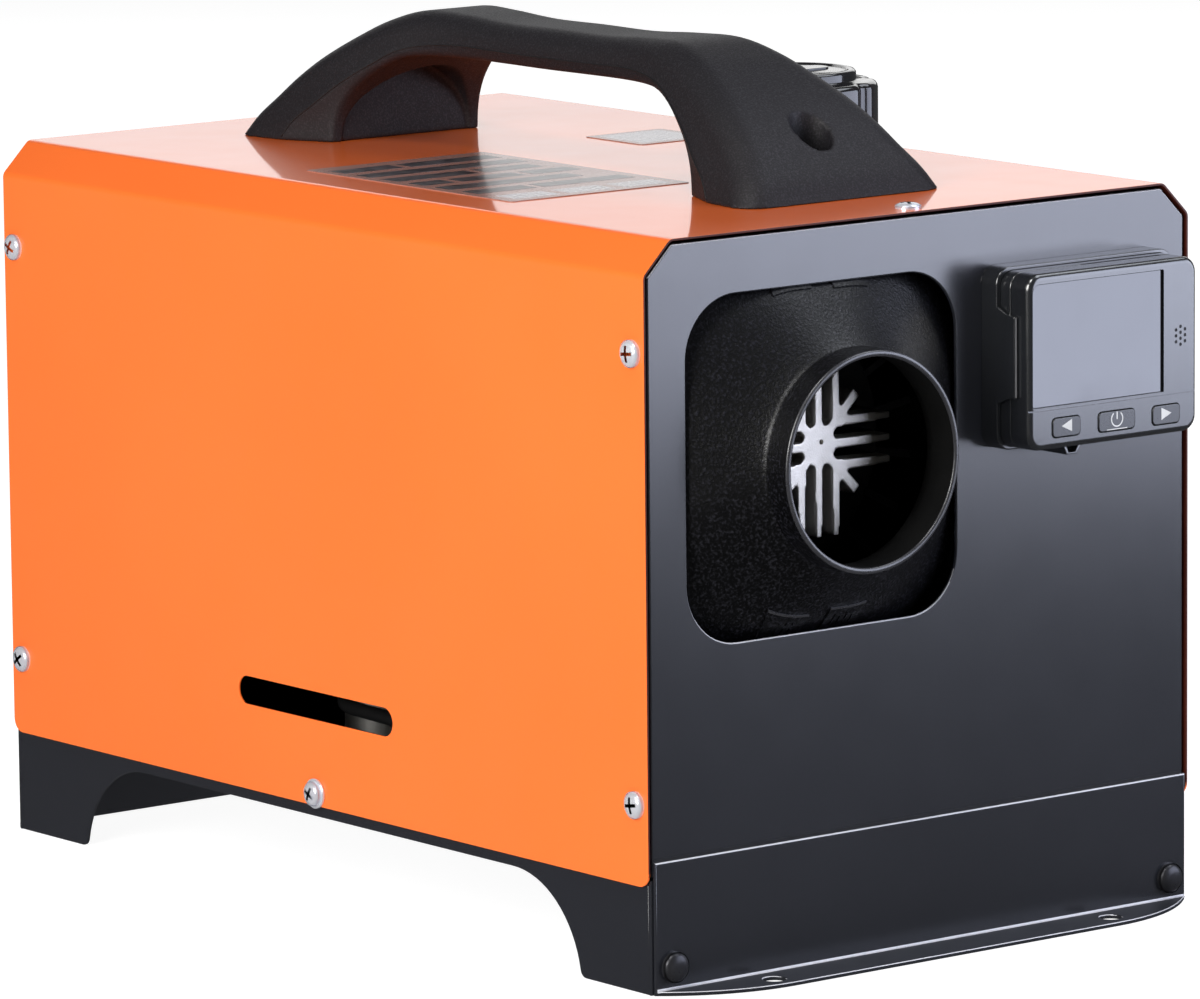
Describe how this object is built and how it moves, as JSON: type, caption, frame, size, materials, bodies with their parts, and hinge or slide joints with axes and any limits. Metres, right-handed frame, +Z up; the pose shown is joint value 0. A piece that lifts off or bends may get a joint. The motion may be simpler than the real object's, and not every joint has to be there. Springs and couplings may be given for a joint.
{
  "type": "diesel air heater",
  "caption": "Portable diesel air heater in an orange sheet-metal case with a round warm-air outlet, carrying handle, fuel filler cap and small display controller.",
  "frame": {"origin": "on the floor under the middle of the case, at the centre of the four screw-down holes", "axes": "+Z up, +Y towards the rear (the warm-air outlet faces -Y), +X towards the fuel tank side"},
  "size_m": [0.2472, 0.4155, 0.3017],
  "materials": {
    "orange_paint": "gloss powder coat",
    "black_paint": "satin powder coat",
    "handle_plastic": "fine moulded texture",
    "screw_steel": "zinc plated",
    "screw_black": "black oxide",
    "washer_steel": "zinc plated",
    "label_plastic": "bare label film",
    "gland_nylon": "moulded",
    "shell_plastic": "moulded",
    "cast_aluminium": "as cast",
    "stainless": "drawn tube",
    "plug_steel": "machined",
    "sensor_brass": "machined",
    "motor_steel": "zinc plated",
    "bronze": "sintered",
    "shaft_steel": "ground",
    "fan_plastic": "moulded",
    "board_case": "moulded",
    "gasket": "pressed fibre",
    "tank_plastic": "blow moulded",
    "seal_rubber": "moulded",
    "cap_plastic": "gloss moulded",
    "filter_plastic": "moulded",
    "pump_steel": "zinc plated",
    "fuel_hose": "extruded",
    "controller_plastic": "fine moulded texture",
    "window_plastic": "polished",
    "display_glass": "dark",
    "key_rubber": "moulded",
    "circuit_board": "solder mask"
  },
  "bodies": {
    "case": {"cover": "orange_paint", "front_panel": "black_paint", "rear_panel": "black_paint", "base_tray": "black_paint", "left_skirt": "black_paint", "right_skirt": "black_paint", "front_foot_plate": "black_paint", "rear_foot_plate": "black_paint", "side_screws": "screw_steel", "sill_screws": "screw_steel", "sill_washers": "washer_steel", "top_screws": "screw_black", "foot_rivets": "screw_black", "handle": "handle_plastic", "handle_bolts": "screw_black", "handle_nuts": "screw_steel", "data_plate": "label_plastic", "small_plate": "label_plastic", "cable_gland": "gland_nylon", "upper_shell": "shell_plastic", "lower_shell": "shell_plastic", "outlet_hood": "shell_plastic", "inlet_cap": "shell_plastic", "heat_exchanger": "cast_aluminium", "combustion_tube": "stainless", "glow_plug": "plug_steel", "overheat_sensor": "sensor_brass", "blower_housing": "cast_aluminium", "motor": "motor_steel", "motor_bearings": "bronze", "control_unit": "board_case", "heater_shelf": "black_paint", "flange_gasket": "gasket", "exhaust_pipe": "stainless", "combustion_air_pipe": "cast_aluminium", "fuel_tank": "tank_plastic", "fuel_pickup": "sensor_brass", "fuel_filter": "filter_plastic", "pump_body": "pump_steel", "pump_mount": "seal_rubber", "suction_line": "fuel_hose", "filter_line": "fuel_hose", "delivery_line": "fuel_hose", "controller_cradle": "controller_plastic", "cradle_screws": "screw_steel", "controller_back": "controller_plastic", "controller_front": "controller_plastic", "display_window": "window_plastic", "display_module": "display_glass", "button_board": "circuit_board", "buzzer": "board_case"},
    "rotor": {"rotor_shaft": "shaft_steel", "warm_air_fan": "fan_plastic", "combustion_impeller": "fan_plastic"},
    "cap_seal": {"cap_gasket": "seal_rubber"},
    "cap": {"filler_cap": "cap_plastic"},
    "left_key": {"left_button": "key_rubber"},
    "power_key": {"power_button": "key_rubber"},
    "right_key": {"right_button": "key_rubber"},
    "plunger": {"pump_plunger": "shaft_steel"}
  },
  "joints": [
    {"name": "rotor_spin", "type": "hinge", "parent": "case", "child": "rotor", "pos_m": [-0.0435, 0.1, 0.1745], "axis": [0, 1, 0], "continuous": true},
    {"name": "cap_lift", "type": "slide", "parent": "case", "child": "cap_seal", "axis": [0, 0, 1], "range_m": [0, 0.06]},
    {"name": "cap_turn", "type": "hinge", "parent": "cap_seal", "child": "cap", "pos_m": [0.074, -0.027, 0.264], "axis": [0, 0, 1], "range_deg": [0, 90]},
    {"name": "left_press", "type": "slide", "parent": "case", "child": "left_key", "axis": [0, 1, 0], "range_m": [0, 0.0008], "stiffness_N_per_m": 300},
    {"name": "power_press", "type": "slide", "parent": "case", "child": "power_key", "axis": [0, 1, 0], "range_m": [0, 0.0008], "stiffness_N_per_m": 300},
    {"name": "right_press", "type": "slide", "parent": "case", "child": "right_key", "axis": [0, 1, 0], "range_m": [0, 0.0008], "stiffness_N_per_m": 300},
    {"name": "plunger_stroke", "type": "slide", "parent": "case", "child": "plunger", "axis": [0, 1, 0], "range_m": [0, 0.003], "stiffness_N_per_m": 500}
  ]
}
